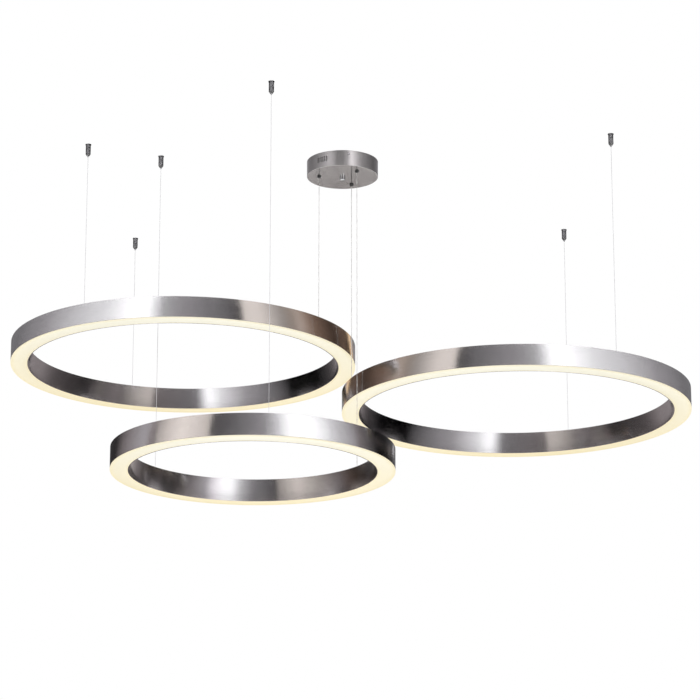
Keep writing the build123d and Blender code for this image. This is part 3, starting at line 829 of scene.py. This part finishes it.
def lobed_section(radius, lobes, points=3, dip=0.16):
    """Outline of a wire's outer strands, which touches the full radius at each strand."""
    outline = []
    for index in range(lobes * points):
        angle = 2 * math.pi * index / (lobes * points)
        reach = radius * (1 - dip * abs(math.sin(angle * lobes / 2)))
        outline.append((reach * math.cos(angle), reach * math.sin(angle)))
    return outline


def draw_in(line, ring, low, high):
    """Gives the line its own copy of its mesh."""
    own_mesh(line)


# ---- Studio ----------------------------------------------------------------------------
def add_to_stage(name, mesh, place=(0.0, 0.0, 0.0)):
    """Adds a mesh at a place, as part of the stage."""
    thing = bpy.data.objects.new(name, mesh)
    thing.location = place
    bpy.context.scene.collection.objects.link(thing)
    thing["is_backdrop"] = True
    return thing


def show_in_gloss_only(thing):
    """Hides a thing from all rays but the mirrored ones."""
    for ray in ("camera", "diffuse", "transmission", "volume_scatter", "shadow"):
        setattr(thing, "visible_" + ray, False)


def at_bearing(radius, bearing):
    """Plan point at a radius and a bearing in degrees, counted from the viewer's side."""
    angle = math.radians(bearing)
    return radius * math.sin(angle), -radius * math.cos(angle)


def seen_rays(tree):
    """1 for the rays that show a thing as it is: straight, mirrored or through glass."""
    path = add_node(tree, "ShaderNodeLightPath")
    seen = add_node(
        tree, "ShaderNodeMath",
        {0: path.outputs["Is Camera Ray"], 1: path.outputs["Is Glossy Ray"]}, operation="MAXIMUM")
    shown = add_node(
        tree, "ShaderNodeMath",
        {0: seen.outputs[0], 1: path.outputs["Is Transmission Ray"]}, operation="MAXIMUM")
    return shown.outputs[0]


def make_surround(settings):
    """White surround: full white where it is seen or mirrored, and a plain level on matt surfaces."""
    world = bpy.data.worlds.new("white_surround")
    world.use_nodes = True
    bpy.context.scene.world = world
    tree = world.node_tree
    level = add_node(
        tree, "ShaderNodeMapRange", {"Value": seen_rays(tree), "To Min": settings.daylight, "To Max": 1.0})
    background = tree.nodes["Background"]
    background.inputs["Color"].default_value = (1.0, 1.0, 1.0, 1.0)
    tree.links.new(level.outputs["Result"], background.inputs["Strength"])


def make_floor(settings, reach=80.0, paint=0.92, whiteness=0.8):
    """Pale floor that nears white where it is seen or mirrored, and is clear from below."""
    mesh = bpy.data.meshes.new("floor")
    height = settings.floor_height
    corners = [
        (-reach, -reach, height), (reach, -reach, height), (reach, reach, height), (-reach, reach, height),
    ]
    mesh.from_pydata(corners, [], [(0, 1, 2, 3)])
    floor = add_to_stage("floor", mesh)
    material, tree, shader = new_material("pale_floor", Roughness=0.9)
    shader.inputs["Base Color"].default_value = (paint, paint, paint, 1.0)
    share = add_node(tree, "ShaderNodeMath", {0: seen_rays(tree), 1: whiteness}, operation="MULTIPLY")
    white = add_node(tree, "ShaderNodeEmission", {"Color": (1.0, 1.0, 1.0, 1.0), "Strength": 1.0})
    mix = add_node(
        tree, "ShaderNodeMixShader",
        {0: share.outputs[0], 1: shader.outputs["BSDF"], 2: white.outputs["Emission"]})
    underside = add_node(tree, "ShaderNodeNewGeometry")
    clear = add_node(tree, "ShaderNodeBsdfTransparent")
    from_above = add_node(
        tree, "ShaderNodeMixShader",
        {0: underside.outputs["Backfacing"], 1: mix.outputs[0], 2: clear.outputs[0]})
    tree.links.new(from_above.outputs[0], tree.nodes["Material Output"].inputs["Surface"])
    assign(floor, material)


def make_screens(settings):
    """Puts a screen before each band, the canopy and the cap nut, and one round all the other pieces.

    The bands, the canopy and the nut mirror their own screens alone, and not the rings' light.
    """
    mirrors = set()
    for ring in RINGS:
        sizes = ring_sizes(ring)
        outer, inner = (SMALL_OUTER, SMALL_INNER) if ring == "ring_3" else (LARGE_OUTER, LARGE_INNER)
        # ring_2 stands to the right and mirrors what ring_1 does the other way round.
        hand = -1 if ring == "ring_2" else 1
        for side, stops, facing in (("outer", outer, 1), ("inner", inner, -1)):
            columns = mirrored_columns(stops, hand, sizes["centre"], sizes[side], facing, settings)
            band = bpy.data.objects[f"{ring}_{side}_band_brushed"]
            make_screen(f"{ring}_{side}_screen", columns, [band], settings)
            mirrors.add(band)
    shell = frame["nodes"]["canopy_shell"]
    behind = (*at_bearing(settings.screen_distance, 180), *CANOPY_FLOOR)
    columns = [behind, *wall_columns("canopy_shell", CANOPY_WALL, settings), behind]
    make_screen("canopy_screen", columns, [shell], settings)
    nut = bpy.data.objects["centre_cap_nut_fluted"]
    columns = wall_columns("centre_cap_nut", CAP_NUT, settings)
    make_screen("cap_nut_screen", columns, [nut], settings)
    mirrors |= {shell, nut}
    others = [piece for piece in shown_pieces() if piece not in mirrors]
    lit = receiver_collection("opal", others)
    for ring in RINGS:
        bpy.data.objects[ring + "_opal_channel"].light_linking.receiver_collection = lit
    distance = settings.screen_distance * 2
    columns = [(*at_bearing(distance, bearing), level, tint) for bearing, level, tint in divided(SURROUND)]
    make_screen("surround_screen", columns, others, settings, see_through=False)


def wall_columns(node, stops, settings):
    """Plan points of the screen before a round node's outer wall."""
    low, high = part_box(node)
    return mirrored_columns(stops, 1, (low + high) / 2, (high.x - low.x) / 2, 1, settings)


def receiver_collection(name, pieces):
    """Collection of the only pieces that a light falls on."""
    collection = bpy.data.collections.new(name + "_receivers")
    for piece in pieces:
        collection.objects.link(piece)
    return collection


def divided(stops, step=3.0):
    """The stops, with mixed ones between them at even steps of about so many degrees."""
    for (start, level, tint), (end, next_level, next_tint) in zip(stops, stops[1:]):
        count = max(1, round((end - start) / step))
        for index in range(count):
            share = index / count
            mixed = tuple(a + (b - a) * share for a, b in zip(tint, next_tint))
            yield start + (end - start) * share, level + (next_level - level) * share, mixed
    yield stops[-1]


def mirrored_columns(stops, hand, centre, radius, facing, settings):
    """Plan points of a screen, each where the camera sees its bearing mirrored in a round wall.

    Facing is 1 for the near side of an outer wall and -1 for the far side of an inner wall.
    """
    camera = Vector(settings.camera_place)
    columns = []
    for bearing, level, tint in divided(stops):
        x, y = at_bearing(1.0, hand * bearing)
        outward = Vector((x, y * facing, 0.0))
        spot = Vector(centre) + outward * radius
        normal = outward * facing
        ray = (spot - camera).reflect(normal)
        ray.z = 0.0
        place = spot + ray.normalized() * settings.screen_distance
        columns.append((place.x, place.y, level, tint))
    return columns


def make_screen(name, columns, receivers, settings, see_through=True):
    """Upright screen that only the gloss of its receivers sees."""
    mesh = bpy.data.meshes.new(name)
    corners = []
    tones = []
    for x, y, level, tint in columns:
        corners += [(x, y, settings.floor_height), (x, y, settings.screen_top)]
        tones += [tuple(level * settings.screen_power * part for part in tint)] * 2
    faces = [(2 * index, 2 * index + 2, 2 * index + 3, 2 * index + 1) for index in range(len(columns) - 1)]
    mesh.from_pydata(corners, [], faces)
    layer = mesh.color_attributes.new("tone", "FLOAT_COLOR", "POINT")
    for item, tone in zip(layer.data, tones):
        item.color = (*tone, 1.0)
    screen = add_to_stage(name, mesh)
    show_in_gloss_only(screen)
    material = bpy.data.materials.new(name)
    material.use_nodes = True
    material.cycles.emission_sampling = "NONE"
    tree = material.node_tree
    tree.nodes.remove(tree.nodes["Principled BSDF"])
    tone = add_node(tree, "ShaderNodeAttribute", attribute_name="tone")
    shader = add_node(tree, "ShaderNodeEmission", {"Color": tone.outputs["Color"], "Strength": 1.0})
    if see_through:
        clear = add_node(tree, "ShaderNodeBsdfTransparent")
        shader = add_node(tree, "ShaderNodeAddShader", {0: shader.outputs[0], 1: clear.outputs[0]})
    tree.links.new(shader.outputs[0], tree.nodes["Material Output"].inputs["Surface"])
    assign(screen, material)
    screen.light_linking.receiver_collection = receiver_collection(name, receivers)


def make_cable_shades(length=55 * MM, radius=1.3 * MM, level=0.30):
    """Dark sleeves that only reflections see: the cables' unlit sides in the canopy's polished floor."""
    material = dull("cable_shade", level)
    section = round_section(radius, sides=12)
    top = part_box("cable_glands")[0].z
    for ring in RINGS:
        low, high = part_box(ring + "_power_cable")
        mesh = twisted_tube(ring + "_cable_shade", section, top - length, top, lay=1.0, step=length)
        shade = add_to_stage(mesh.name, mesh, ((low.x + high.x) / 2, (low.y + high.y) / 2, 0))
        show_in_gloss_only(shade)
        assign(shade, material)


def make_ceiling_patch(overlap=2 * MM, gap=0.5 * MM, level=0.01):
    """The bit of ceiling that closes the canopy's top, unseen by the camera."""
    low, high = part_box("canopy_shell")
    mesh = bpy.data.meshes.new("ceiling_patch")
    shape = bmesh.new()
    bmesh.ops.create_circle(shape, cap_ends=True, segments=64, radius=(high.x - low.x) / 2 + overlap)
    shape.to_mesh(mesh)
    shape.free()
    patch = add_to_stage("ceiling_patch", mesh, (0, 0, high.z + gap))
    patch.visible_camera = False
    assign(patch, dull("ceiling_patch", level))


def dull(name, level):
    """Matt material of a thing that only keeps light away."""
    material, _, shader = new_material(name, Roughness=1.0, Specular_IOR_Level=0.0)
    shader.inputs["Base Color"].default_value = (level, level, level, 1.0)
    return material


def make_soft_light(place=(-3.5, -5.0, 1.5), target=(0.0, 0.0, -0.6), size=3.0, power=140.0):
    """One broad soft light from the front and above the viewer's left."""
    lamp = bpy.data.lights.new("soft_light", "AREA")
    lamp.shape = "DISK"
    lamp.size = size
    lamp.energy = power
    light = bpy.data.objects.new("soft_light", lamp)
    light.location = place
    aim = Vector(target) - Vector(place)
    light.rotation_euler = aim.to_track_quat("-Z", "Y").to_euler()
    light.visible_camera = False
    light.visible_glossy = False
    bpy.context.scene.collection.objects.link(light)


def make_camera(settings, sensor_width=36.0):
    """Camera that sees the chandelier as the photo does."""
    view = bpy.data.cameras.new("photo_view")
    view.lens = settings.lens
    view.sensor_width = sensor_width
    camera = bpy.data.objects.new("photo_view", view)
    camera.location = settings.camera_place
    camera.rotation_euler = (math.pi / 2 + settings.camera_pitch, 0.0, 0.0)
    bpy.context.scene.collection.objects.link(camera)
    bpy.context.scene.camera = camera


# ---- Panel and registration ------------------------------------------------------------
OPERATORS = (
    CHANDELIER_OT_bands, CHANDELIER_OT_opal_faces, CHANDELIER_OT_ring_insides, CHANDELIER_OT_wires,
    CHANDELIER_OT_cables, CHANDELIER_OT_anchors, CHANDELIER_OT_canopy, CHANDELIER_OT_studio,
)
SETTINGS = {
    "chandelier_ring": RingSettings, "chandelier_hanging": HangingSettings,
    "chandelier_canopy": CanopySettings, "chandelier_studio": StudioSettings,
}


class CHANDELIER_PT_panel(bpy.types.Panel):
    """Lists the pieces of the chandelier and their settings"""

    bl_idname = "CHANDELIER_PT_panel"
    bl_label = "LED Ring Chandelier"
    bl_space_type = "VIEW_3D"
    bl_region_type = "UI"
    bl_category = "Chandelier"

    def draw(self, context):
        for group, kind in SETTINGS.items():
            box = self.layout.box()
            for name in kind.__annotations__:
                box.prop(getattr(context.scene, group), name)
        for operator in OPERATORS:
            self.layout.operator(operator.bl_idname)


CLASSES = (*SETTINGS.values(), *OPERATORS, CHANDELIER_PT_panel)


def register():
    """Registers the classes, and gives each scene its settings."""
    for kind in CLASSES:
        bpy.utils.register_class(kind)
    for group, kind in SETTINGS.items():
        setattr(bpy.types.Scene, group, PointerProperty(type=kind))


def unregister():
    """Takes the settings and the classes away again."""
    for group in SETTINGS:
        delattr(bpy.types.Scene, group)
    for kind in reversed(CLASSES):
        bpy.utils.unregister_class(kind)


def main():
    """Runs every operator in order."""
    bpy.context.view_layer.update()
    register()
    for operator in OPERATORS:
        category, call = operator.bl_idname.split(".")
        getattr(getattr(bpy.ops, category), call)()


if __name__ == "__main__":
    main()
